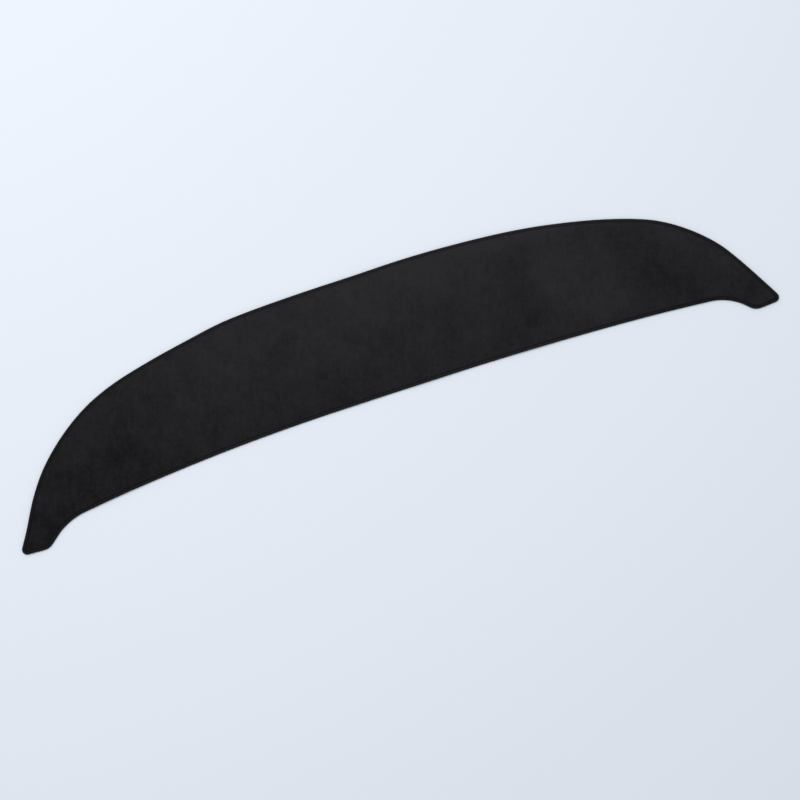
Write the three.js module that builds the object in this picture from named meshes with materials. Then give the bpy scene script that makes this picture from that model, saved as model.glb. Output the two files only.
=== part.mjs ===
import * as THREE from "three";

// A dashboard cover mat, lying flat: one panel of laminated cloth cut to the top of a dashboard,
// with its cut edge held all round in a tape that is folded over it and sewn through.
// Millimetres, +Z up, +X along the mat to the right, +Y towards the windscreen. The origin is
// under the middle of the mat's outer box.

// Sizes of the cut outline. "Out" runs from the middle line towards an ear, and "ahead" from
// the front edge on the middle line towards the windscreen.
const earReach = 717; // out to an ear's outer corner, before that corner is rounded
const stripDepth = 221; // ahead from the front edge to the windscreen edge, on the middle line
const leftEarDrop = 65.6; // how far the left foot lies behind the front edge
const rightEarDrop = 67.4;
const leftFootWidth = 54; // the foot's outer corner to its inner one
const rightFootWidth = 53;
const leftFootRise = 3.5; // how far the foot's outer corner lies ahead of its inner one
const rightFootRise = 3;
const leftSlopeRun = 47; // from the foot's inner corner inwards to the hollow beside the ear
const rightSlopeRun = 38;
const leftHollowDrop = 28; // how far the hollow lies behind the front edge
const rightHollowDrop = 30;
const tipRadius = 9; // rounding of an ear's outer corner
const footRadius = 25; // rounding of the foot's inner corner
const leftHollowRadius = 116;
const rightHollowRadius = 96;

// The shape of the two long edges between those corners, as pairs of shares. The first share is
// of earReach, outwards. The second is of stripDepth along the windscreen edge, and of the
// hollow's drop along the front edge. The left shoulder is fuller than the right one.
const windscreenLeftShares = [
  [0.14, 1.004], [0.29, 0.995], [0.35, 0.981], [0.44, 0.935], [0.54, 0.877],
  [0.65, 0.791], [0.73, 0.687], [0.81, 0.521], [0.879, 0.317], [0.929, 0.1], [0.955, -0.048],
];
const windscreenRightShares = [
  [0.15, 0.997], [0.3, 0.969], [0.44, 0.92], [0.56, 0.847], [0.67, 0.753],
  [0.761, 0.64], [0.83, 0.493], [0.891, 0.301], [0.927, 0.13], [0.955, -0.026],
];
const frontLeftShares = [[0.24, -0.036], [0.44, 0.1], [0.69, 0.525]];
const frontRightShares = [[0.34, 0.16], [0.67, 0.567]];

// Sizes across the edge
const clothThick = 3.4; // the panel, over the grip dots of its backing
const hemThick = 2; // the panel's margin, where the tape squeezes it
const swellWidth = 1.6; // over which the panel swells from its margin to full thickness
const tapeThick = 0.7;
const tapeWidth = 5.6; // the tape's width on each face of the mat
const seamInset = 4.4; // the line of stitches, from the folded edge
const seamSink = 0.25; // how far the stitches pull each face in
const fitGap = 0.3; // between the tape and the cloth in it

// How finely the outline is cut into straight pieces
const fineSpacing = 0.5;
const longestSpacing = 30;
const turnStep = THREE.MathUtils.degToRad(5);
const outerFoldSteps = 6;
const innerFoldSteps = 4;
const cornerShare = 0.98; // the share of a run that its two rounded corners may take up

const edgeThick = hemThick + 2 * (fitGap + tapeThick);
const foldRadius = edgeThick / 2;
const hemEnd = tapeWidth + fitGap;
const swellEnd = hemEnd + swellWidth;

// An ear's three corners before they are rounded, on the side where out is +1 or -1 along X
function earCorners(side, drop, rise, footWidth, slopeRun, hollowDrop) {
  const at = (out, ahead) => new THREE.Vector3(side * out, ahead, 0);
  return {
    tip: at(earReach, rise - drop),
    foot: at(earReach - footWidth, -drop),
    hollow: at(earReach - footWidth - slopeRun, -hollowDrop),
  };
}

// Points along a long edge, from shares outwards and shares of a depth ahead
function stations(side, shares, depth) {
  return shares.map(([out, ahead]) => new THREE.Vector3(side * out * earReach, ahead * depth, 0));
}

function smoothRun(points) {
  const run = new THREE.CatmullRomCurve3(points, false, "centripetal");
  run.arcLengthDivisions = Math.ceil((2 * earReach) / fineSpacing);
  return run;
}

// The six runs of the outline, anticlockwise from the left ear's tip, each with the radius of
// the corner that ends it. An ear's tip is never rounded tighter than the panel's swell.
function outlineRuns() {
  const left = earCorners(-1, leftEarDrop, leftFootRise, leftFootWidth, leftSlopeRun, leftHollowDrop);
  const right = earCorners(
    1, rightEarDrop, rightFootRise, rightFootWidth, rightSlopeRun, rightHollowDrop,
  );
  const tip = Math.max(tipRadius, swellEnd + fitGap);
  const front = [
    left.hollow,
    ...stations(-1, frontLeftShares, -leftHollowDrop).reverse(),
    new THREE.Vector3(0, 0, 0),
    ...stations(1, frontRightShares, -rightHollowDrop),
    right.hollow,
  ];
  const windscreen = [
    right.tip,
    ...stations(1, windscreenRightShares, stripDepth).reverse(),
    new THREE.Vector3(0, stripDepth, 0),
    ...stations(-1, windscreenLeftShares, stripDepth),
    left.tip,
  ];
  return [
    { run: new THREE.LineCurve3(left.tip, left.foot), radius: footRadius },
    { run: new THREE.LineCurve3(left.foot, left.hollow), radius: leftHollowRadius },
    { run: smoothRun(front), radius: rightHollowRadius },
    { run: new THREE.LineCurve3(right.hollow, right.foot), radius: footRadius },
    { run: new THREE.LineCurve3(right.foot, right.tip), radius: tip },
    { run: smoothRun(windscreen), radius: tip },
  ];
}

// Even points along part of a run, without its last one, which the next piece starts with
function walk(run, from, to) {
  const length = run.getLength() * (to - from);
  const steps = Math.max(2, Math.ceil(length / fineSpacing));
  return Array.from({ length: steps }, (_, i) => run.getPointAt(from + ((to - from) * i) / steps));
}

// The outline as close points: each run is cut back where it meets the next, and the corner is
// rounded by a curve that leaves and joins them in their own directions. Two corners share the
// run between them, so neither is rounded further than that run has room for.
function fineOutline(runs) {
  const count = runs.length;
  const turnAfter = runs.map(({ run }, i) =>
    run.getTangentAt(1).angleTo(runs[(i + 1) % count].run.getTangentAt(0)));
  const fullCut = runs.map(({ radius }, i) => radius * Math.tan(turnAfter[i] / 2));
  const lengths = runs.map(({ run }) => run.getLength());
  const room = lengths.map((length, i) => length / (fullCut[(i + count - 1) % count] + fullCut[i]));
  const fit = room.map((share, i) => Math.min(1, cornerShare * Math.min(share, room[(i + 1) % count])));
  const cutAfter = fullCut.map((cut, i) => cut * fit[i]);
  const pieces = runs.map(({ run }, i) => {
    const before = (i + count - 1) % count;
    return { run, from: cutAfter[before] / lengths[i], to: 1 - cutAfter[i] / lengths[i] };
  });
  return pieces.flatMap(({ run, from, to }, i) => {
    const next = pieces[(i + 1) % count];
    const start = run.getPointAt(to);
    const end = next.run.getPointAt(next.from);
    const leaving = run.getTangentAt(to);
    const joining = next.run.getTangentAt(next.from);
    const radius = runs[i].radius * fit[i];
    const handle = (4 / 3) * Math.tan(leaving.angleTo(joining) / 4) * radius;
    const corner = new THREE.CubicBezierCurve3(
      start,
      start.clone().addScaledVector(leaving, handle),
      end.clone().addScaledVector(joining, -handle),
      end,
    );
    return [...walk(run, from, to), ...walk(corner, 0, 1)];
  });
}

// The outline as few points, each with its direction out of the mat: a point is kept wherever
// the outline has turned by turnStep or run on by longestSpacing since the last one.
function keptOutline(fine) {
  const kept = [];
  let turned = turnStep;
  let gone = 0;
  fine.forEach((point, i) => {
    const last = fine[(i + fine.length - 1) % fine.length];
    const next = fine[(i + 1) % fine.length];
    const arriving = point.clone().sub(last);
    turned += arriving.angleTo(next.clone().sub(point));
    gone += arriving.length();
    if (turned < turnStep && gone < longestSpacing) {
      return;
    }
    const along = next.clone().sub(last).normalize();
    kept.push({ at: point, out: new THREE.Vector3(along.y, -along.x, 0) });
    turned = 0;
    gone = 0;
  });
  return kept;
}

function centred(outline) {
  const box = new THREE.Box3().setFromPoints(outline.map(({ at }) => at));
  const middle = box.getCenter(new THREE.Vector3());
  return outline.map(({ at, out }) => ({ at: at.clone().sub(middle), out }));
}

// One face of the folded edge, as [inset, height] from over the mat, round the fold and under
// it. The face lies halfThick from the mid-plane, follows a half circle at the fold, and is
// pulled in at the seam.
function foldFace(halfThick, endInset, steps) {
  const leg = [[endInset, halfThick - seamSink / 2], [seamInset, halfThick - seamSink]];
  const fold = Array.from({ length: steps + 1 }, (_, i) => {
    const angle = Math.PI * (0.5 - i / steps);
    return [foldRadius - halfThick * Math.cos(angle), halfThick * Math.sin(angle)];
  });
  const under = leg.map(([inset, height]) => [inset, -height]).reverse();
  return [...leg, ...fold, ...under].map(([inset, height]) => [inset, foldRadius + height]);
}

function tapeSection() {
  const outside = foldFace(foldRadius, tapeWidth, outerFoldSteps);
  const inside = foldFace(foldRadius - tapeThick, tapeWidth, innerFoldSteps);
  return [...outside, ...inside.reverse()];
}

function panelSection() {
  const margin = foldFace(hemThick / 2, hemEnd, innerFoldSteps);
  return [[swellEnd, clothThick], ...margin, [swellEnd, 0]];
}

// Carries a section round the outline. A closed section makes a ring, and an open one is
// closed by a flat cap over its first turn and another under its last.
function carriedRound(outline, section, closed) {
  const rings = section.map(([inset, height]) =>
    outline.map(({ at, out }) => at.clone().addScaledVector(out, -inset).setZ(height)));
  const count = outline.length;
  const indices = [];
  const bands = closed ? rings.length : rings.length - 1;
  for (let ring = 0; ring < bands; ring += 1) {
    const here = ring * count;
    const there = ((ring + 1) % rings.length) * count;
    for (let i = 0; i < count; i += 1) {
      const j = (i + 1) % count;
      indices.push(here + i, there + i, there + j, here + i, there + j, here + j);
    }
  }
  if (!closed) {
    const lastRing = (rings.length - 1) * count;
    const cap = THREE.ShapeUtils.triangulateShape(rings[0], []);
    cap.forEach(([a, b, c]) => indices.push(a, b, c));
    cap.forEach(([a, b, c]) => indices.push(lastRing + a, lastRing + c, lastRing + b));
  }
  const geometry = new THREE.BufferGeometry().setFromPoints(rings.flat());
  geometry.setIndex(indices);
  geometry.computeVertexNormals();
  return geometry;
}

function named(name, geometry, material) {
  const mesh = new THREE.Mesh(geometry, material);
  mesh.name = name;
  return mesh;
}

const blackCloth = new THREE.MeshStandardMaterial({ color: 0x232325, roughness: 0.95, metalness: 0 });
const blackTape = new THREE.MeshStandardMaterial({ color: 0x1e1e20, roughness: 0.85, metalness: 0 });

const outline = centred(keptOutline(fineOutline(outlineRuns())));

const mat = new THREE.Group();
mat.add(named("mat_panel", carriedRound(outline, panelSection(), false), blackCloth));
mat.add(named("edge_binding", carriedRound(outline, tapeSection(), true), blackTape));

export default mat;
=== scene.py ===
import math

import bpy
import numpy as np
from bpy.props import FloatProperty, FloatVectorProperty, IntProperty, PointerProperty
from bpy.types import Operator, Panel, PropertyGroup, Scene
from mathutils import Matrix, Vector


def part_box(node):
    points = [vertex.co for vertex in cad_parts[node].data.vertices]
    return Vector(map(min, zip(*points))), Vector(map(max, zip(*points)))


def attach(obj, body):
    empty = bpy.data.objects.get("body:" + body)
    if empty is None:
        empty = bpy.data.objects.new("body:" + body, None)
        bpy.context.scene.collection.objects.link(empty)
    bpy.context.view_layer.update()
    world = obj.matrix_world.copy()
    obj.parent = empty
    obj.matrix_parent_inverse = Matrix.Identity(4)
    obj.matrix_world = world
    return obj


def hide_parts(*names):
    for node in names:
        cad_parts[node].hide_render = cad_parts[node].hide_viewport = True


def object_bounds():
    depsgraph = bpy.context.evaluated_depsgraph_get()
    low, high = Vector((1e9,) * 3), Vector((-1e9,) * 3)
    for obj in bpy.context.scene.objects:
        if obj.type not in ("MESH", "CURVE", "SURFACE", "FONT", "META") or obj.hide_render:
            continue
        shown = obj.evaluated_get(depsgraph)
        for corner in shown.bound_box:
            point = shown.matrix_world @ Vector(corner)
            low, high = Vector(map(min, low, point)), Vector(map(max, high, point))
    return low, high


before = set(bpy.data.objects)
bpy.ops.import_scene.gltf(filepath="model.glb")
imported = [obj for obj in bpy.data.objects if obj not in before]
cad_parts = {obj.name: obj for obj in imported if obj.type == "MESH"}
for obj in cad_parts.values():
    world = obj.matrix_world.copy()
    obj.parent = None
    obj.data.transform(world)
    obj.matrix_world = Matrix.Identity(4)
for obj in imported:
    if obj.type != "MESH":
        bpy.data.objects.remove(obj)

bl_info = {
    "name": "Dashboard Cover Mat",
    "version": (1, 0, 0),
    "blender": (4, 5, 0),
    "location": "3D View > Sidebar > Cover Mat",
    "description": "Napped cloth mat with a bound and sewn edge and a backing with grip dots",
    "category": "Object",
}

MM = 0.001
BODY = "root"
PANEL_NODE = "mat_panel"
BINDING_NODE = "edge_binding"
CAD_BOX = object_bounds()

# Heights that the solids give, in metres above the surface that the mat lies on
MID_HEIGHT = sum(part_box(BINDING_NODE)[k][2] for k in (0, 1)) / 2
CLOTH_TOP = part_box(PANEL_NODE)[1][2]


# Sizes and colours that a user would change

class ClothSettings(PropertyGroup):
    # The cloth's tone runs from dark nap to light nap: painted shade towards the ends and beside the
    # tape, painted light towards the windscreen edge, a painted highlight on its rim, and nap strokes
    # and noise
    light_nap: FloatVectorProperty(
        name="Light nap", description="Colour where the nap leans towards the light",
        subtype="COLOR", size=3, default=(0.0210, 0.0209, 0.0231))
    dark_nap: FloatVectorProperty(
        name="Dark nap", description="Colour where the nap leans away from the light",
        subtype="COLOR", size=3, default=(0.0025, 0.0025, 0.0031))
    backing: FloatVectorProperty(
        name="Backing", description="Colour of the knitted backing",
        subtype="COLOR", size=3, default=(0.020, 0.020, 0.022))
    swell_width: FloatProperty(
        name="Swell width", description="Width over which the cloth rises beside the binding",
        unit="LENGTH", default=1.6 * MM)
    wave_height: FloatProperty(
        name="Wave height", description="How far the laid cloth lifts off the surface at most",
        unit="LENGTH", default=1.3 * MM)
    # Width of the painted shade beside the binding, where the nap is drawn darker
    tape_shade_width: FloatProperty(
        name="Crushed width", description="Width beside the binding where the nap is pressed dark",
        unit="LENGTH", default=1.0 * MM)
    foam_relief: FloatProperty(
        name="Foam relief", description="Unevenness of the cloth over its foam",
        unit="LENGTH", default=0.09 * MM)


class BindingSettings(PropertyGroup):
    colour: FloatVectorProperty(
        name="Tape", description="Colour of the woven binding tape",
        subtype="COLOR", size=3, default=(0.0105, 0.0105, 0.0118))
    width: FloatProperty(
        name="Width", description="Width of the tape on each face of the mat",
        unit="LENGTH", default=5.6 * MM)
    thickness: FloatProperty(
        name="Thickness", description="Thickness of the tape",
        unit="LENGTH", default=0.7 * MM)
    rib_pitch: FloatProperty(
        name="Rib pitch", description="Distance between the ribs woven across the tape",
        unit="LENGTH", default=0.8 * MM)


class SeamSettings(PropertyGroup):
    colour: FloatVectorProperty(
        name="Thread", description="Colour of the sewing thread",
        subtype="COLOR", size=3, default=(0.0100, 0.0100, 0.0112))
    inset: FloatProperty(
        name="Inset", description="The row of stitches, from the folded edge",
        unit="LENGTH", default=4.4 * MM)
    pitch: FloatProperty(
        name="Stitch length", description="Distance from one needle hole to the next",
        unit="LENGTH", default=3.2 * MM)
    thread: FloatProperty(
        name="Thread diameter", description="Thickness of the thread where it shows",
        unit="LENGTH", default=0.38 * MM)
    sink: FloatProperty(
        name="Sink", description="How far the seam draws the tape in along its whole length",
        unit="LENGTH", default=0.25 * MM)
    dimple: FloatProperty(
        name="Dimple", description="How much deeper the tape is drawn in at each needle hole",
        unit="LENGTH", default=0.12 * MM)


class GripSettings(PropertyGroup):
    colour: FloatVectorProperty(
        name="Dots", description="Colour of the silicone grip dots",
        subtype="COLOR", size=3, default=(0.016, 0.016, 0.017))
    spacing: FloatProperty(
        name="Spacing", description="Distance between neighbouring dots",
        unit="LENGTH", default=7.5 * MM)
    radius: FloatProperty(
        name="Radius", description="Radius of a dot where it meets the backing",
        unit="LENGTH", default=1.2 * MM)
    height: FloatProperty(
        name="Height", description="How far a dot stands out of the backing",
        unit="LENGTH", default=0.4 * MM)
    margin: FloatProperty(
        name="Margin", description="Bare backing between the mat's edge and the nearest dots",
        unit="LENGTH", default=13 * MM)
    sides: IntProperty(
        name="Sides", description="Number of flat sides round a dot", default=8, min=5)


class StageSettings(PropertyGroup):
    floor: FloatVectorProperty(
        name="Floor", description="Colour of the plain floor",
        subtype="COLOR", size=3, default=(0.785, 0.840, 0.922))
    sky_level: FloatProperty(
        name="Sky level", description="Strength of the even light from all round", default=0.56)
    softbox_level: FloatProperty(
        name="Softbox level", description="Light that the softbox adds at the middle of the mat",
        default=0.49)
    roll: FloatProperty(
        name="Roll", description="Turn of the mat in the picture, its right end up",
        unit="ROTATION", default=math.radians(18.757))
    lens: FloatProperty(
        name="Lens", description="Focal length of the camera, in millimetres", default=70)


# The mat's outline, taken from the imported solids

def mesh_arrays(node):
    """A CAD node's corners with doubles merged, and its triangles as rows of three indices."""
    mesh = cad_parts[node].data
    corners = np.empty(len(mesh.vertices) * 3)
    mesh.vertices.foreach_get("co", corners)
    mesh.calc_loop_triangles()
    triangles = np.empty(len(mesh.loop_triangles) * 3, np.int32)
    mesh.loop_triangles.foreach_get("vertices", triangles)
    micron = np.round(corners.reshape(-1, 3) * 1e6).astype(np.int64)
    merged, place = np.unique(micron, axis=0, return_inverse=True)
    return merged * 1e-6, place.ravel()[triangles].reshape(-1, 3)


def outer_rim(node):
    """The rim of a ring-shaped node at mid height, as ordered (x, y) points.

    A rim edge has both its ends in the mid plane. Taken from the triangle above the plane, each
    has one direction, so every rim point has one follower, and following them closes a loop. The
    loop that reaches furthest out is the outer rim.
    """
    corners, triangles = mesh_arrays(node)
    in_plane = np.abs(corners[:, 2] - MID_HEIGHT) < 5e-6
    first = triangles.ravel()
    second = np.roll(triangles, -1, axis=1).ravel()
    third = np.roll(triangles, -2, axis=1).ravel()
    rim = in_plane[first] & in_plane[second] & (corners[third, 2] > MID_HEIGHT)
    follower = dict(zip(first[rim].tolist(), second[rim].tolist()))
    start = max(follower, key=lambda i: corners[i, 0])
    loop = [start]
    while follower[loop[-1]] != start:
        loop.append(follower[loop[-1]])
    points = corners[loop, :2]
    return points if signed_area(points) > 0 else points[::-1]


def signed_area(points):
    """Half the sum of the cross products of neighbouring corners, above zero if anticlockwise."""
    x, y = points.T
    return 0.5 * np.sum(x * np.roll(y, -1) - np.roll(x, -1) * y)


def rounded_loop(points, per_side):
    """A closed curve through the points.

    Each side is the cubic a + b t + c t^2 + d t^3 of a Catmull-Rom spline whose knots lie as far
    apart as the square root of the distance between the points, so that it doesn't overshoot.
    """
    before, here, there, after = (np.roll(points, k, axis=0) for k in (1, 0, -1, -2))
    gaps = [np.sqrt(np.linalg.norm(b - a, axis=1))[:, None]
            for a, b in ((before, here), (here, there), (there, after))]
    leaving = ((here - before) / gaps[0] - (there - before) / (gaps[0] + gaps[1])
               + (there - here) / gaps[1]) * gaps[1]
    arriving = ((there - here) / gaps[1] - (after - here) / (gaps[1] + gaps[2])
                + (after - there) / gaps[2]) * gaps[1]
    t = np.linspace(0, 1, per_side, endpoint=False)[None, :, None]
    square = -3 * here + 3 * there - 2 * leaving - arriving
    cube = 2 * here - 2 * there + leaving + arriving
    curve = here[:, None] + t * leaving[:, None] + t ** 2 * square[:, None] + t ** 3 * cube[:, None]
    return curve.reshape(-1, 2)


class Outline:
    """The mat's closed edge. Any distance along it gives a point and the direction out of the mat."""

    FINE_STEP = 0.25 * MM  # between the points that the outline is kept as
    TURN_WEIGHT = 30 * MM  # edge length that one radian of turning counts as in stations

    def __init__(self, corners):
        curve = rounded_loop(corners, 120)
        curve = np.vstack([curve, curve[:1]])
        along = np.concatenate([[0], np.cumsum(np.linalg.norm(np.diff(curve, axis=0), axis=1))])
        self.length = along[-1]
        self.at = np.arange(0, self.length, self.FINE_STEP)
        self.points = np.column_stack([np.interp(self.at, along, curve[:, k]) for k in (0, 1)])
        run = np.roll(self.points, -2, axis=0) - np.roll(self.points, 2, axis=0)
        run /= np.linalg.norm(run, axis=1)[:, None]
        self.outward = np.column_stack([run[:, 1], -run[:, 0]])
        heading = np.unwrap(np.arctan2(run[:, 1], run[:, 0]))
        turn = np.abs(np.diff(heading, append=heading[0] + 2 * math.pi))
        self.effort = np.concatenate([[0], np.cumsum(self.FINE_STEP + self.TURN_WEIGHT * turn)])

    def place(self, along):
        """Points and outward directions at distances along the edge, read between fine points."""
        along = np.mod(along, self.length)
        period = {"period": self.length}
        point = np.stack([np.interp(along, self.at, self.points[:, k], **period) for k in (0, 1)], -1)
        out = np.stack([np.interp(along, self.at, self.outward[:, k], **period) for k in (0, 1)], -1)
        return point, out / np.linalg.norm(out, axis=-1, keepdims=True)

    def furthest(self, direction, side):
        """Distance along the edge to its furthest point that way, on one side of the mat."""
        reach = self.points @ np.array(direction) - 10 * (self.points[:, 0] * side < 0)
        return self.at[np.argmax(reach)]

    def stations(self, start, end, count):
        """Distances from start to end along the edge, closer together where the edge turns."""
        fine = np.append(self.at, self.length)
        low = np.interp(start, fine, self.effort)
        high = np.interp(end % self.length, fine, self.effort)
        high += self.effort[-1] * (high <= low)
        wanted = np.linspace(low, high, count, endpoint=False) % self.effort[-1]
        return np.interp(wanted, self.effort, fine)

    def distance(self, xy):
        """Shortest distance from each (x, y) to the edge, by its nearest point of a coarser loop."""
        coarse = self.points[::8]
        parts = np.array_split(xy.reshape(-1, 2), max(1, xy.size // 4000))
        near = [np.sqrt(((part[:, None] - coarse[None]) ** 2).sum(-1).min(1)) for part in parts]
        return np.concatenate(near).reshape(xy.shape[:-1])

    def holds(self, xy):
        """Whether each (x, y) is inside: a ray along +X crosses the edge an odd number of times."""
        a = self.points[::16]
        b = np.roll(a, -1, axis=0)
        x, y = xy[:, :1], xy[:, 1:]
        spans = (a[:, 1] > y) != (b[:, 1] > y)
        rise = np.where(b[:, 1] == a[:, 1], 1, b[:, 1] - a[:, 1])
        crossing = a[:, 0] + (y - a[:, 1]) * (b[:, 0] - a[:, 0]) / rise
        return np.count_nonzero(spans & (x < crossing), axis=1) % 2 == 1


OUTLINE = Outline(outer_rim(BINDING_NODE))


# How the cloth lies

def soft_noise(xy, size, seed):
    """Smooth noise between -1 and 1: random values on a square lattice, eased between neighbours."""
    lattice = np.random.default_rng(seed).uniform(-1, 1, (64, 64))
    place = xy / size
    cell = np.floor(place).astype(int)
    ease = place - cell
    ease = ease * ease * (3 - 2 * ease)
    i, j = cell[..., 0], cell[..., 1]
    fx, fy = ease[..., 0], ease[..., 1]
    near = lattice[i % 64, j % 64] * (1 - fx) + lattice[(i + 1) % 64, j % 64] * fx
    far = lattice[i % 64, (j + 1) % 64] * (1 - fx) + lattice[(i + 1) % 64, (j + 1) % 64] * fx
    return near * (1 - fy) + far * fy


def lift(xy):
    """How far the laid cloth stands off the surface: long low waves, highest along the two edges.

    The wave is the square of a sine whose phase drifts with y, so that it touches down on the
    surface between crests, times a share that grows from the middle of the strip to its edges.
    """
    x, y = xy[..., 0], xy[..., 1]
    height = bpy.context.scene.mat_cloth.wave_height
    strip_middle, strip_half = 0.04, 0.11
    edge = 0.35 + 0.65 * np.clip(np.abs(y - strip_middle) / strip_half, 0, 1) ** 2
    slow = np.sin(2 * math.pi * (x / 0.83 + 0.9 * y) + 0.7)
    quick = np.sin(2 * math.pi * (x / 0.39 - 1.6 * y) + 2.1 + 0.8 * slow)
    return height * edge * quick ** 2 * (0.6 + 0.4 * slow)


# Meshes, materials and pieces

def grid_faces(rows, columns, close_rows=False, close_columns=False):
    """Corner indices of the four-sided faces of a grid of points, row by row."""
    r = np.arange(rows if close_rows else rows - 1)[:, None]
    c = np.arange(columns if close_columns else columns - 1)[None, :]
    r1, c1 = (r + 1) % rows, (c + 1) % columns
    faces = [r * columns + c, r1 * columns + c, r1 * columns + c1, r * columns + c1]
    return np.stack(np.broadcast_arrays(*faces), -1).reshape(-1, 4)


def new_piece(name, points, faces, material):
    """An object from points (n, 3) and a list of index arrays, each with faces of one size."""
    mesh = bpy.data.meshes.new(name)
    sizes = np.concatenate([np.full(len(part), part.shape[1]) for part in faces])
    corners = np.concatenate([part.ravel() for part in faces]).astype(np.int32)
    mesh.vertices.add(len(points))
    mesh.vertices.foreach_set("co", np.ascontiguousarray(points, np.float32).ravel())
    mesh.loops.add(len(corners))
    mesh.loops.foreach_set("vertex_index", corners)
    mesh.polygons.add(len(sizes))
    starts = np.concatenate([[0], np.cumsum(sizes)[:-1]]).astype(np.int32)
    mesh.polygons.foreach_set("loop_start", starts)
    mesh.update(calc_edges=True)
    mesh.validate()
    mesh.polygons.foreach_set("use_smooth", np.full(len(mesh.polygons), True))
    mesh.materials.append(material)
    piece = bpy.data.objects.new(name, mesh)
    bpy.context.scene.collection.objects.link(piece)
    return piece


def add_uv(piece, uv):
    """A UV map from one (u, v) for each point, or for each face corner."""
    mesh = piece.data
    if len(uv) == len(mesh.vertices):
        corner = np.empty(len(mesh.loops), np.int32)
        mesh.loops.foreach_get("vertex_index", corner)
        uv = uv[corner]
    layer = mesh.uv_layers.new(name="Cloth")
    layer.data.foreach_set("uv", np.ascontiguousarray(uv, np.float32).ravel())


def add_attribute(piece, name, values):
    """One number for each point, which a material reads by its name."""
    layer = piece.data.attributes.new(name, "FLOAT", "POINT")
    layer.data.foreach_set("value", np.ascontiguousarray(values, np.float32))


class Nodes:
    """Short names for making and joining a material's nodes."""

    def __init__(self, name):
        self.material = bpy.data.materials.new(name)
        self.material.use_nodes = True
        self.tree = self.material.node_tree
        self.shader = self.tree.nodes["Principled BSDF"]

    def add(self, kind, inputs=(), **settings):
        """A new node with its settings made and its inputs filled."""
        node = self.tree.nodes.new(kind)
        for key, value in settings.items():
            setattr(node, key, value)
        for key, value in dict(inputs).items():
            self.put(node.inputs[key], value)
        return node

    def put(self, socket, value):
        """Join another node's output to an input, or write a constant on it."""
        if isinstance(value, bpy.types.NodeSocket):
            self.tree.links.new(value, socket)
        else:
            socket.default_value = value

    def math(self, operation, a, b=0.0, c=0.0):
        return self.add("ShaderNodeMath", {0: a, 1: b, 2: c}, operation=operation).outputs[0]

    def object_place(self):
        return self.add("ShaderNodeTexCoord").outputs["Object"]

    def brushed_place(self, direction, stretch):
        """Places whose second axis runs in a direction and is drawn out by a factor."""
        inputs = {"Vector": self.object_place(), "Scale": (1, stretch, 1),
                  "Rotation": (0, 0, direction - math.pi / 2)}
        return self.add("ShaderNodeMapping", inputs, vector_type="TEXTURE").outputs["Vector"]

    def noise(self, place, size, detail=2.0, roughness=0.5, distortion=0.0):
        """Noise of about 0 to 1 whose patches are about size metres across."""
        inputs = {"Vector": place, "Scale": 1 / size, "Detail": detail,
                  "Roughness": roughness, "Distortion": distortion}
        return self.add("ShaderNodeTexNoise", inputs, noise_dimensions="3D").outputs["Fac"]

    def blend(self, share, low, high):
        """A colour between low and high, at a share from 0 to 1."""
        node = self.add("ShaderNodeMix", {"Factor": share}, data_type="RGBA", clamp_factor=True)
        low_socket, high_socket = [socket for socket in node.inputs if socket.type == "RGBA"]
        self.put(low_socket, low)
        self.put(high_socket, high)
        return next(socket for socket in node.outputs if socket.type == "RGBA")

    def bump(self, height, distance, strength):
        inputs = {"Height": height, "Distance": distance, "Strength": strength}
        return self.add("ShaderNodeBump", inputs).outputs["Normal"]

    def finish(self, **inputs):
        """The material, after its shader's inputs are set. An underscore stands for a space."""
        for key, value in inputs.items():
            self.put(self.shader.inputs[key.replace("_", " ")], value)
        return self.material


def opaque(colour, share=1.0):
    """A colour times a share, with full opacity as its fourth part."""
    return (*(share * part for part in colour), 1.0)


def napped_cloth():
    """Brushed cloth. Its tone is a field plus noises, each less its own mean. The field holds painted
    shade towards the ends and beside the tape, painted light towards the windscreen edge with a painted
    highlight on its rim, and strokes of nap. The noises are clouds, strokes of a brush across and along
    the mat, tufts, and fibres as fine as the pile."""
    cloth = bpy.context.scene.mat_cloth
    n = Nodes("brushed_nap")
    tone = n.add("ShaderNodeAttribute", attribute_name="tone_and_painted_light").outputs["Fac"]
    plain = n.object_place()
    across = n.brushed_place(math.radians(71), 3.2)
    along = n.brushed_place(math.radians(-19), 3.0)
    clouds = n.noise(plain, 0.060, detail=2, roughness=0.5, distortion=0.5)
    mottle = n.noise(plain, 0.019, detail=3, roughness=0.65, distortion=0.8)
    strokes = n.noise(across, 0.0062, detail=3, roughness=0.7)
    counter = n.noise(along, 0.0065, detail=2, roughness=0.7)
    tufts = n.noise(plain, 0.0034, detail=2, roughness=0.75)
    fibres = n.noise(across, 0.0005, detail=2, roughness=0.6)
    layers = ((clouds, 0.50), (mottle, 0.46), (strokes, 0.55), (counter, 0.30), (tufts, 0.55),
              (fibres, 0.35))
    for noise, share in layers:
        tone = n.math("ADD", tone, n.math("MULTIPLY_ADD", noise, share, -0.5 * share))
    colour = n.blend(tone, opaque(cloth.dark_nap), opaque(cloth.light_nap))
    height = n.math("MULTIPLY_ADD", tufts, 0.5, fibres)
    normal = n.bump(height, 0.15 * MM, 0.6)
    return n.finish(Base_Color=colour, Roughness=0.96, Normal=normal, Specular_IOR_Level=0.10,
                    Sheen_Weight=0.05, Sheen_Roughness=0.45, Sheen_Tint=(0.9, 0.92, 1.0, 1.0))


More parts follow.
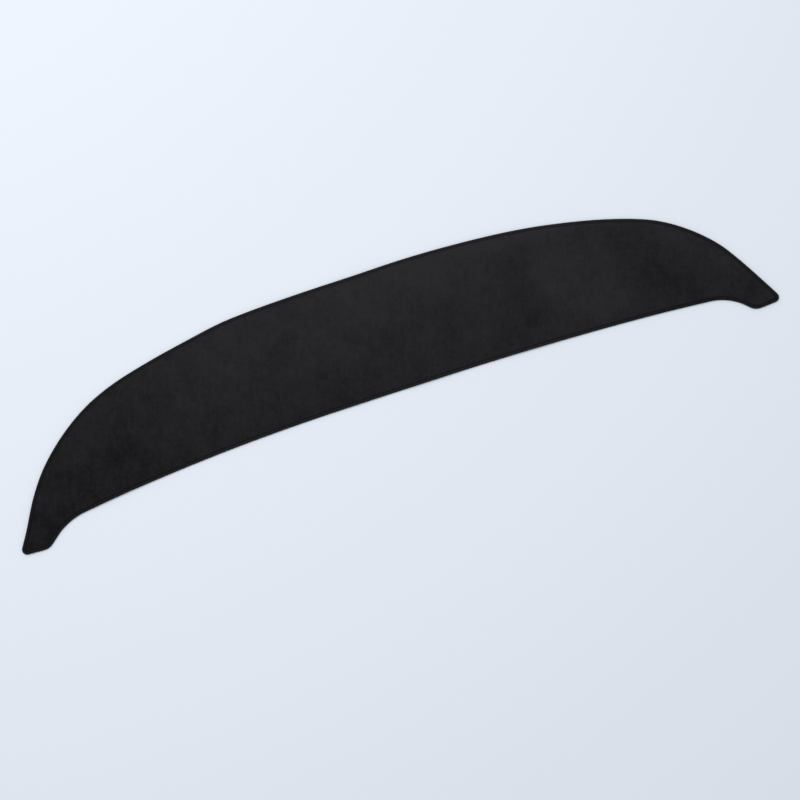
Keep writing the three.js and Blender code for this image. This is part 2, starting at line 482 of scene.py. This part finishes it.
def knitted_backing():
    """Fine knit: rows of loops from two crossed sines, dulled by noise."""
    cloth = bpy.context.scene.mat_cloth
    n = Nodes("knitted_backing")
    place = n.object_place()
    split = n.add("ShaderNodeSeparateXYZ", {"Vector": place})
    rows = n.math("SINE", n.math("MULTIPLY", split.outputs["X"], 2 * math.pi / (1.1 * MM)))
    loops = n.math("SINE", n.math("MULTIPLY", split.outputs["Y"], 2 * math.pi / (0.8 * MM)))
    knit = n.math("MULTIPLY", rows, loops)
    fuzz = n.noise(place, 0.0015, detail=3)
    height = n.math("MULTIPLY_ADD", fuzz, 1.5, n.math("MULTIPLY", knit, 0.5))
    shade = n.math("MULTIPLY_ADD", height, 0.35, 0.2)
    colour = n.blend(shade, opaque(cloth.backing, 0.6), opaque(cloth.backing, 1.3))
    normal = n.bump(height, 0.1 * MM, 0.5)
    return n.finish(Base_Color=colour, Roughness=0.9, Normal=normal, Specular_IOR_Level=0.2)


def woven_tape():
    """Binding tape: ribs across it and fine threads along it, on the tape's own UV map in metres.

    It has painted shade towards both ends of the mat, as the cloth has, and a little painted shade
    beside its seam.
    """
    tape = bpy.context.scene.mat_binding
    n = Nodes("woven_tape")
    uv = n.add("ShaderNodeUVMap", uv_map="Cloth").outputs["UV"]
    split = n.add("ShaderNodeSeparateXYZ", {"Vector": uv})
    along, across = split.outputs["X"], split.outputs["Y"]
    ribs = n.math("SINE", n.math("MULTIPLY", along, 2 * math.pi / tape.rib_pitch))
    threads = n.math("SINE", n.math("MULTIPLY", across, 2 * math.pi / (0.45 * tape.rib_pitch)))
    wear = n.noise(uv, 0.012, detail=4, roughness=0.6)
    fuzz = n.noise(uv, 0.0005, detail=2)
    height = n.math("MULTIPLY_ADD", threads, 0.35, ribs)
    height = n.math("MULTIPLY_ADD", fuzz, 0.6, height)
    # The attribute holds the tape's painted shade: towards both ends, along the front edge near the
    # right end, and beside the seam
    tone = n.add("ShaderNodeAttribute", attribute_name="tone_and_painted_light").outputs["Fac"]
    tone = n.math("MULTIPLY_ADD", height, 0.10, n.math("ADD", tone, -0.03))
    tone = n.math("MULTIPLY_ADD", wear, 0.4, n.math("ADD", tone, -0.2))
    colour = n.blend(tone, opaque(tape.colour, 0.45), opaque(tape.colour, 1.45))
    normal = n.bump(height, 0.08 * MM, 0.7)
    return n.finish(Base_Color=colour, Roughness=0.85, Normal=normal, Specular_IOR_Level=0.14,
                    Sheen_Weight=0.03, Sheen_Roughness=0.4)


def sewing_thread():
    """Twisted thread: slanted plies from a sine of both UV directions."""
    seam = bpy.context.scene.mat_seam
    n = Nodes("sewing_thread")
    uv = n.add("ShaderNodeUVMap", uv_map="Cloth").outputs["UV"]
    split = n.add("ShaderNodeSeparateXYZ", {"Vector": uv})
    slant = n.math("MULTIPLY_ADD", split.outputs["X"], 5.0, split.outputs["Y"])
    plies = n.math("SINE", n.math("MULTIPLY", slant, 2 * math.pi))
    shade = n.math("MULTIPLY_ADD", plies, 0.4, 0.5)
    colour = n.blend(shade, opaque(seam.colour, 0.5), opaque(seam.colour, 1.6))
    normal = n.bump(plies, 0.04 * MM, 0.6)
    return n.finish(Base_Color=colour, Roughness=0.55, Normal=normal, Specular_IOR_Level=0.35)


def grip_silicone():
    """Soft black silicone, a little shiny, with dust-fine unevenness."""
    grip = bpy.context.scene.mat_grip
    n = Nodes("grip_silicone")
    speck = n.noise(n.object_place(), 0.0008, detail=3)
    colour = n.blend(speck, opaque(grip.colour), opaque(grip.colour, 1.8))
    rough = n.math("MULTIPLY_ADD", speck, 0.25, 0.3)
    normal = n.bump(speck, 0.03 * MM, 0.4)
    return n.finish(Base_Color=colour, Roughness=rough, Normal=normal, Specular_IOR_Level=0.4)


# The panel

def painted_end_shade(x):
    """Painted shade along the mat, darker towards both ends: the tone rises from the left end as a
    hyperbolic tangent, and falls again at the right end as a bell, exp of minus a squared distance."""
    return 0.485 + 0.20 * np.tanh((x + 0.37) / 0.28) - 0.13 * np.exp(-((x - 0.64) / 0.12) ** 2)


def middle_line(x):
    """About half way from the front edge to the windscreen edge: a parabola that falls outwards."""
    return 0.033 - 0.24 * x ** 2


def tone_and_painted_light(xy):
    """The cloth's tone at each point, about 0 to 1: painted shade that deepens towards both ends of the
    mat, painted light that rises steadily towards the windscreen edge, a thin painted highlight along
    the windscreen rim, and soft oval strokes of nap where a hand has brushed it.

    A stroke adds its tone times exp of minus half the squared distance from its centre, counted
    in its own length one way and in its width the other.
    """
    x, y = xy[..., 0], xy[..., 1]
    # Painted shade towards both ends of the mat, and painted light that grows towards the windscreen
    # edge
    tone_with_painted_light = painted_end_shade(x) + 0.02 + 1.3 * (y - middle_line(x))
    # Centre x and y, length, width, turn from the X axis in radians, tone
    strokes = (
        (-0.52, -0.05, 0.070, 0.040, 0.4, -0.07),
        (-0.33, -0.02, 0.100, 0.030, 0.3, 0.06),
        (-0.26, 0.08, 0.080, 0.035, 0.4, 0.07),
        (-0.14, 0.11, 0.040, 0.030, 0.6, -0.08),
        (0.07, 0.11, 0.140, 0.040, 0.1, 0.15),
        (0.01, -0.06, 0.050, 0.030, 0.2, -0.03),
        (0.15, -0.02, 0.040, 0.040, 0.0, -0.07),
        (0.285, 0.04, 0.080, 0.028, 1.4, -0.15),
        # A thin painted highlight along the windscreen rim, right of the middle
        (0.29, 0.118, 0.080, 0.009, -0.12, 0.26),
        (0.34, 0.085, 0.050, 0.018, -0.3, -0.10),
        (0.35, 0.02, 0.060, 0.030, -1.1, 0.16),
        (0.44, -0.05, 0.040, 0.030, 0.8, 0.16),
        (0.507, -0.003, 0.065, 0.028, -1.15, -0.33),
        (0.58, 0.03, 0.050, 0.030, 0.6, 0.10),
    )
    for cx, cy, length, width, turn, tone in strokes:
        u = (x - cx) * math.cos(turn) + (y - cy) * math.sin(turn)
        v = (y - cy) * math.cos(turn) - (x - cx) * math.sin(turn)
        tone_with_painted_light = tone_with_painted_light + tone * np.exp(-0.5 * ((u / length) ** 2 + (v / width) ** 2))
    return tone_with_painted_light


def patch(front, far, left, right):
    """A grid between four edges that share their corners: the straight blend from the front edge
    to the far one, plus what the left and right edges depart from it, fading across the grid."""
    u = np.linspace(0, 1, len(front))[None, :, None]
    v = np.linspace(0, 1, len(left))[:, None, None]
    ruled = (1 - v) * front[None] + v * far[None]
    from_left = (1 - u) * (left - ruled[:, 0])[:, None]
    from_right = u * (right - ruled[:, -1])[:, None]
    return ruled + from_left + from_right


class PanelShape:
    """The cloth panel as one closed surface: bands carried round the outline for its swell and its
    squeezed hem, and a patch for each flat face that the bands meet point by point."""

    LONG, CROSS = 400, 46  # points along each long side and across each end
    FIT_GAP = 0.3 * MM  # between the tape and the cloth in it
    HEM_HALF = 1.0 * MM  # half the cloth's thickness where the tape squeezes it
    RELIEF_FADE = 12 * MM  # over which the foam's relief grows from nothing beside the swell

    def __init__(self, cloth, tape, seam, grip):
        self.hem_end = tape.width + self.FIT_GAP
        self.swell_end = self.hem_end + cloth.swell_width
        self.foam_relief = cloth.foam_relief
        self.backing_height = grip.height
        tips = {side: OUTLINE.furthest((side, -0.6), side) for side in (-1, 1)}
        heels = {side: OUTLINE.furthest((-0.06 * side, -1), side) for side in (-1, 1)}
        self.along = np.concatenate([
            OUTLINE.stations(tips[-1], heels[-1], self.CROSS),
            OUTLINE.stations(heels[-1], heels[1], self.LONG),
            OUTLINE.stations(heels[1], tips[1], self.CROSS),
            OUTLINE.stations(tips[1], tips[-1], self.LONG),
        ])
        self.edge, self.out = OUTLINE.place(self.along)
        self.seam_inset, self.seam_sink = seam.inset, seam.sink

    def section(self):
        """Insets and heights from the top face's border, round the hem, to the underside's.

        Beside the tape the cloth rises as 1 - (1 - t)^2, steep at the tape and level at the end.
        """
        hem = self.HEM_HALF
        t = np.linspace(1, 0, 8)
        inset = self.hem_end + (self.swell_end - self.hem_end) * t
        rise = 1 - (1 - t) ** 2
        low = MID_HEIGHT + hem - self.seam_sink / 2
        top = low + (CLOTH_TOP - low) * rise
        under_low = MID_HEIGHT - hem + self.seam_sink / 2
        under = under_low + (self.backing_height - under_low) * rise
        fold = np.radians([90, 45, 0, -45, -90])
        folded = MID_HEIGHT - hem * np.cos(fold)
        hem_inset = np.concatenate([[self.seam_inset], folded, [self.seam_inset]])
        hem_height = np.concatenate([[hem - self.seam_sink], hem * np.sin(fold), [self.seam_sink - hem]])
        insets = np.concatenate([inset, hem_inset, inset[::-1]])
        return insets, np.concatenate([top, MID_HEIGHT + hem_height, under[::-1]])

    def relief(self, field):
        """The foam's unevenness: two soft noises of unlike size, faded out towards the swell."""
        clear = np.clip((OUTLINE.distance(field) - self.swell_end) / self.RELIEF_FADE, 0, 1)
        unevenness = soft_noise(field, 0.045, 11) + 0.6 * soft_noise(field, 0.017, 12)
        return self.foam_relief * clear * unevenness

    def build(self):
        """All points, and the faces of the bands, the top patch and the under patch."""
        insets, heights = self.section()
        rings = self.edge[None] - self.out[None] * insets[:, None, None]
        high = np.broadcast_to(heights[:, None], rings.shape[:2])
        bands = np.concatenate([rings, (high + lift(rings))[..., None]], -1)
        count = len(self.along)
        border = np.arange(count)
        a, b, c = self.CROSS, self.CROSS + self.LONG, 2 * self.CROSS + self.LONG
        corners = {"front": border[a:b + 1], "far": np.append(border[c:], 0)[::-1],
                   "left": border[:a + 1][::-1], "right": border[b:c + 1]}
        inner = rings[0]
        field = patch(*(inner[corners[key]] for key in ("front", "far", "left", "right")))
        faces = [grid_faces(len(insets), count, close_columns=True)]
        points = [bands.reshape(-1, 3)]
        start = len(points[0])
        rows, columns = field.shape[:2]
        top = (0, CLOTH_TOP, self.relief(field), False)
        under = (len(insets) - 1, self.backing_height, 0, True)
        for border_ring, level, bumps, flip in (top, under):
            height = level + bumps + lift(field)
            index = start + np.arange(rows * columns).reshape(rows, columns)
            ring = border_ring * count
            index[0], index[-1] = ring + corners["front"], ring + corners["far"]
            index[:, 0], index[:, -1] = ring + corners["left"], ring + corners["right"]
            quads = index.ravel()[grid_faces(rows, columns)]
            faces.append(quads if flip else quads[:, ::-1])
            points.append(np.concatenate([field, height[..., None]], -1).reshape(-1, 3))
            start += rows * columns
        return np.concatenate(points), faces


def without_loose(points, faces):
    """The points that faces use, and the faces renumbered to them."""
    used = np.unique(np.concatenate([part.ravel() for part in faces]))
    number = np.full(len(points), -1)
    number[used] = np.arange(len(used))
    return points[used], [number[part] for part in faces]


class MAT_OT_panel(Operator):
    """Make the cloth panel over its solid"""
    bl_idname = "cover_mat.panel"
    bl_label = "Cloth panel"

    def execute(self, context):
        scene = context.scene
        shape = PanelShape(scene.mat_cloth, scene.mat_binding, scene.mat_seam, scene.mat_grip)
        points, faces = without_loose(*shape.build())
        piece = new_piece("cloth_panel", points, faces, napped_cloth())
        piece.data.materials.append(knitted_backing())
        normals = np.empty(len(piece.data.polygons) * 3)
        piece.data.polygons.foreach_get("normal", normals)
        below = normals.reshape(-1, 3)[:, 2] < 0
        piece.data.polygons.foreach_set("material_index", below.astype(np.int32))
        # Painted shade beside the tape, where the nap is drawn darker, most along the front edge
        past_tape = (OUTLINE.distance(points[:, :2]) - shape.hem_end) / scene.mat_cloth.tape_shade_width
        front = points[:, 1] < middle_line(points[:, 0])
        tape_edge_shade = (0.25 + 0.35 * front) * np.clip(1 - past_tape, 0, 1)
        add_attribute(piece, "tone_and_painted_light", tone_and_painted_light(points[:, :2]) - tape_edge_shade)
        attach(piece, BODY)
        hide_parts(PANEL_NODE)
        return {"FINISHED"}


# The binding

class TapeShape:
    """The tape's section and how it changes along the edge."""

    def __init__(self, tape, seam):
        self.tape, self.seam = tape, seam
        self.count = int(round(OUTLINE.length / seam.pitch))
        self.pitch = OUTLINE.length / self.count
        self.outer = MID_HEIGHT
        self.inner = MID_HEIGHT - tape.thickness

    def section(self):
        """Inset, height over the mid plane and share of the seam's pull at each section point.

        The tape's faces are two half circles about one centre, run out into flat legs that end in
        a small half circle. The seam pulls a leg in as a bell: exp of minus a squared distance.
        Past the seam, towards its end, the leg keeps 0.9 of that pull and hugs the cloth.
        """
        half = self.tape.thickness / 2
        end = self.tape.width - half
        outer_leg = self.seam.inset + np.array([0.6, 0.3, 0, -0.3, -0.7, -1.2, -1.8]) * MM
        inner_leg = self.seam.inset + np.array([0, -1.3]) * MM
        fold = np.radians(np.linspace(90, -90, 9))
        back = np.radians(np.linspace(-90, 90, 5))
        tip = np.radians([-45, 0, 45])
        middle = self.outer - half
        inset = [outer_leg, self.outer - self.outer * np.cos(fold), outer_leg[::-1],
                 end + half * np.cos(tip), inner_leg, self.outer - self.inner * np.cos(back),
                 inner_leg[::-1], end + half * np.cos(tip)]
        height = [np.full(7, self.outer), self.outer * np.sin(fold), np.full(7, -self.outer),
                  -middle + half * np.sin(tip), np.full(2, -self.inner), self.inner * np.sin(back),
                  np.full(2, self.inner), middle + half * np.sin(tip)]
        inset, height = np.concatenate(inset), np.concatenate(height)
        bell = np.exp(-((inset - self.seam.inset) / (1.0 * MM)) ** 2)
        hugging = 0.9 * (inset > self.seam.inset) * (1 - bell)
        return inset, height, bell + hugging

    def pull(self, along):
        """How far the seam draws the tape in: steady, and deeper round each needle hole."""
        hole = 0.5 + 0.5 * np.cos(2 * math.pi * along / self.pitch)
        return self.seam.sink + self.seam.dimple * hole

    def surface(self, along):
        """Height of the tape's upper face over the mid plane, on the line of the seam."""
        return self.outer - self.pull(along)


class MAT_OT_binding(Operator):
    """Carry the folded tape round the edge"""
    bl_idname = "cover_mat.binding"
    bl_label = "Edge binding"

    def execute(self, context):
        scene = context.scene
        seam = scene.mat_seam
        shape = TapeShape(scene.mat_binding, seam)
        inset, height, share = shape.section()
        along = np.arange(2 * shape.count) * shape.pitch / 2
        edge, out = OUTLINE.place(along)
        flat = edge[:, None] - out[:, None] * inset[None, :, None]
        drawn = height - np.sign(height) * share * shape.pull(along)[:, None]
        points = np.concatenate([flat, (MID_HEIGHT + drawn + lift(flat))[..., None]], -1)
        faces = grid_faces(len(along), len(inset), close_rows=True, close_columns=True)
        piece = new_piece("binding_tape", points.reshape(-1, 3), [faces[:, ::-1]], woven_tape())
        step = np.hypot(np.diff(inset, append=inset[0]), np.diff(height, append=height[0]))
        across = np.concatenate([[0], np.cumsum(step)])
        corner_u = np.array([0, 1, 1, 0])[::-1]
        corner_v = np.array([0, 0, 1, 1])[::-1]
        row, column = np.divmod(np.arange(len(faces)), len(inset))
        u = (row[:, None] + corner_u) * shape.pitch / 2
        v = across[column[:, None] + corner_v]
        add_uv(piece, np.stack([u, v], -1).reshape(-1, 2))
        # Painted shade: darker beside the seam, most on the front edge, towards both ends of the mat,
        # and along the front edge near the right end
        front = 0.5 - 0.5 * out[:, 1:]
        painted_groove_shade = (0.18 + 0.30 * front) * np.exp(-((inset - seam.inset - 0.4 * MM) / (0.9 * MM)) ** 2)
        x = flat[..., 0]
        tone = painted_end_shade(x) - 0.12 * np.clip((np.abs(x) - 0.35) / 0.25, 0, 1)
        tone -= 0.28 * front * np.clip((x - 0.35) / 0.15, 0, 1)
        add_attribute(piece, "tone_and_painted_light", (tone - painted_groove_shade).ravel())
        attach(piece, BODY)
        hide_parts(BINDING_NODE)
        return {"FINISHED"}


# The seam

def stitches(shape, face, name, material):
    """A row of stitches on one face (1 above, -1 below), each a closed spindle of round section.

    Along a stitch t runs from 0 to 1 between two needle holes. The centre line follows the seam
    and dips as (2t - 1)^4 into the holes, and the radius is that of a capsule, rounded at the ends.
    """
    radius = bpy.context.scene.mat_seam.thread / 2
    sides = 6
    t = np.array([0.08, 0.16, 0.34, 0.66, 0.84, 0.92])
    swell = np.array([0.0, 0.8, 1.0, 1.0, 0.8, 0.0])
    number = np.arange(shape.count)
    edge, out = OUTLINE.place((number[:, None] + t[None]) * shape.pitch)
    line = edge - out * shape.seam.inset
    crown = shape.surface(shape.pitch / 2) + 0.45 * radius
    centre = crown - (2 * t - 1) ** 4 * (2.2 * radius + shape.seam.dimple)
    angle = np.linspace(0, 2 * math.pi, sides, endpoint=False)
    sideways = radius * swell[:, None] * np.cos(angle)
    upwards = radius * swell[:, None] * np.sin(angle)
    flat = line[:, :, None] + out[:, :, None] * sideways[None, :, :, None]
    high = MID_HEIGHT + face * (centre[:, None] + upwards)[None] + lift(flat)
    points = np.concatenate([flat, high[..., None]], -1)
    rings, body = len(t), np.arange(1, len(t) - 1)
    first = number[:, None] * rings * sides
    tube = grid_faces(len(body), sides, close_columns=True) + sides
    spokes = np.arange(sides)
    after = (spokes + 1) % sides
    start = np.stack([np.zeros(sides, int), sides + spokes, sides + after], -1)
    last = (rings - 1) * sides
    end = np.stack([np.full(sides, last), last - sides + after, last - sides + spokes], -1)
    faces = [(first[..., None] + part[None]).reshape(-1, part.shape[1]) for part in (tube, start, end)]
    if face < 0:
        faces = [part[:, ::-1] for part in faces]
    points, faces = without_loose(points.reshape(-1, 3), faces)
    piece = new_piece(name, points, faces, material)
    per_stitch = len(points) // shape.count
    place = np.arange(len(points)) % per_stitch
    ring = np.clip((place - 1) // sides + 1, 0, rings - 1)
    add_uv(piece, np.column_stack([t[ring], ((place - 1) % sides) / sides]))
    return piece


class MAT_OT_seam(Operator):
    """Sew the binding through, above and below"""
    bl_idname = "cover_mat.seam"
    bl_label = "Seam"

    def execute(self, context):
        scene = context.scene
        shape = TapeShape(scene.mat_binding, scene.mat_seam)
        thread = sewing_thread()
        for name, face in (("seam_thread_top", 1), ("seam_thread_under", -1)):
            piece = stitches(shape, face, name, thread)
            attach(piece, BODY)
        return {"FINISHED"}


# The grip dots

class MAT_OT_grip_dots(Operator):
    """Print the grip dots on the backing, in rows half a step apart like a honeycomb"""
    bl_idname = "cover_mat.grip_dots"
    bl_label = "Grip dots"

    def execute(self, context):
        grip = context.scene.mat_grip
        low, high = CAD_BOX
        rows = np.arange(low[1], high[1], grip.spacing * math.sqrt(0.75))
        columns = np.arange(low[0], high[0], grip.spacing)
        x = columns[None, :] + (np.arange(len(rows)) % 2)[:, None] * grip.spacing / 2
        y = np.broadcast_to(rows[:, None], x.shape)
        centres = np.column_stack([x.ravel(), y.ravel()])
        centres = centres[OUTLINE.holds(centres)]
        centres = centres[OUTLINE.distance(centres) > grip.margin]
        angle = np.linspace(0, 2 * math.pi, grip.sides, endpoint=False)
        ring = np.column_stack([np.cos(angle), np.sin(angle)]) * grip.radius
        # A dot is two rings and a tip: it starts a little inside the backing and narrows downwards
        dot = np.vstack([ring, ring * 0.66, [[0, 0]]])
        depth = np.concatenate([np.full(grip.sides, -0.1), np.full(grip.sides, 0.72), [1]])
        flat = centres[:, None] + dot[None]
        level = grip.height * (1 - depth)[None] + lift(centres)[:, None]
        points = np.concatenate([flat, level[..., None]], -1).reshape(-1, 3)
        spokes = np.arange(grip.sides)
        after = (spokes + 1) % grip.sides
        wall = np.stack([spokes, spokes + grip.sides, after + grip.sides, after], -1)
        tip = np.full(grip.sides, len(dot) - 1)
        crown = np.stack([spokes + grip.sides, tip, after + grip.sides], -1)
        first = np.arange(len(centres))[:, None, None] * len(dot)
        parts = (wall, crown, spokes[None])
        faces = [(first + part[None]).reshape(-1, part.shape[1]) for part in parts]
        piece = new_piece("grip_dots", points, faces, grip_silicone())
        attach(piece, BODY)
        return {"FINISHED"}


# The stage

def floor_material(colour):
    """One dull colour, which shows the mat's shadow."""
    n = Nodes("plain_floor")
    return n.finish(Base_Color=opaque(colour), Roughness=1.0, Specular_IOR_Level=0.0)


def add_softbox(level):
    """A large square lamp above the windscreen side of the mat, a little to its left, aimed at it.

    A square lamp of power P and side s, seen from distance d along its axis, gives about
    P / (pi d^2) on a face turned to it, and the cosine of its slant on the flat mat.
    """
    place = np.array([-0.7, 1.9, 3.8])
    distance = np.linalg.norm(place)
    cosine = place[2] / distance
    lamp = bpy.data.lights.new("softbox", "AREA")
    lamp.shape = "SQUARE"
    lamp.size = 2.8
    lamp.energy = level * math.pi * math.pi * distance ** 2 / cosine
    light = bpy.data.objects.new("softbox", lamp)
    light.location = place
    light.rotation_euler = Vector(place).to_track_quat("Z", "Y").to_euler()
    bpy.context.scene.collection.objects.link(light)


def add_camera(stage):
    """Straight above the mat and turned against it by the photo's roll.

    The picture is 800 points square. One point is 1.78 mm on the mat, and the mat's middle lies
    a little to the left of the picture's middle and above it.
    """
    points_across = 800
    point_size = 1.77976 * MM
    middle = (376.55, 352.78)
    camera = bpy.data.cameras.new("camera")
    camera.lens = stage.lens
    camera.sensor_width = 36
    view_width = points_across * point_size
    turn = -stage.roll
    right = np.array([math.cos(turn), math.sin(turn)])
    up = np.array([-math.sin(turn), math.cos(turn)])
    shift_right = (points_across / 2 - middle[0]) * point_size
    shift_up = (middle[1] - points_across / 2) * point_size
    centre = right * shift_right + up * shift_up
    height = view_width * stage.lens / camera.sensor_width
    ob = bpy.data.objects.new("camera", camera)
    ob.location = (centre[0], centre[1], height + CLOTH_TOP)
    ob.rotation_euler = (0, 0, turn)
    bpy.context.scene.collection.objects.link(ob)
    bpy.context.scene.camera = ob


class MAT_OT_stage(Operator):
    """Lay out the floor, the light and the camera"""
    bl_idname = "cover_mat.stage"
    bl_label = "Stage"

    def execute(self, context):
        scene = context.scene
        stage = scene.mat_stage
        side = np.linspace(-8, 8, 9)
        x, y = np.meshgrid(side, side, indexing="ij")
        points = np.column_stack([x.ravel(), y.ravel(), np.zeros(x.size)])
        faces = [grid_faces(len(side), len(side))]
        floor = new_piece("floor", points, faces, floor_material(stage.floor))
        world = bpy.data.worlds.new("sky")
        world.use_nodes = True
        sky = world.node_tree.nodes["Background"]
        sky.inputs["Color"].default_value = (1, 1, 1, 1)
        sky.inputs["Strength"].default_value = stage.sky_level
        scene.world = world
        scene.view_settings.view_transform = "Standard"
        add_softbox(stage.softbox_level)
        add_camera(stage)
        return {"FINISHED"}


class MAT_PT_sidebar(Panel):
    """Lists each step's settings above the button that makes its piece"""
    bl_idname = "MAT_PT_sidebar"
    bl_label = "Cover Mat"
    bl_space_type = "VIEW_3D"
    bl_region_type = "UI"
    bl_category = "Cover Mat"

    def draw(self, context):
        for label, group, operator in STEPS:
            box = self.layout.box()
            box.label(text=label)
            settings = getattr(context.scene, group)
            for key in settings.bl_rna.properties.keys():
                if key not in {"rna_type", "name"}:
                    box.prop(settings, key)
            box.operator(operator)


STEPS = (
    ("Cloth", "mat_cloth", "cover_mat.panel"),
    ("Binding", "mat_binding", "cover_mat.binding"),
    ("Seam", "mat_seam", "cover_mat.seam"),
    ("Grip", "mat_grip", "cover_mat.grip_dots"),
    ("Stage", "mat_stage", "cover_mat.stage"),
)
GROUPS = {
    "mat_cloth": ClothSettings,
    "mat_binding": BindingSettings,
    "mat_seam": SeamSettings,
    "mat_grip": GripSettings,
    "mat_stage": StageSettings,
}
OPERATORS = (MAT_OT_panel, MAT_OT_binding, MAT_OT_seam, MAT_OT_grip_dots, MAT_OT_stage)


def register():
    for group in GROUPS.values():
        bpy.utils.register_class(group)
    for key, group in GROUPS.items():
        setattr(Scene, key, PointerProperty(type=group))
    for operator in OPERATORS:
        bpy.utils.register_class(operator)
    bpy.utils.register_class(MAT_PT_sidebar)


def unregister():
    bpy.utils.unregister_class(MAT_PT_sidebar)
    for operator in reversed(OPERATORS):
        bpy.utils.unregister_class(operator)
    for key in GROUPS:
        delattr(Scene, key)
    for group in reversed(list(GROUPS.values())):
        bpy.utils.unregister_class(group)


def main():
    register()
    bpy.ops.cover_mat.panel()
    bpy.ops.cover_mat.binding()
    bpy.ops.cover_mat.seam()
    bpy.ops.cover_mat.grip_dots()
    bpy.ops.cover_mat.stage()


if __name__ == "__main__":
    main()
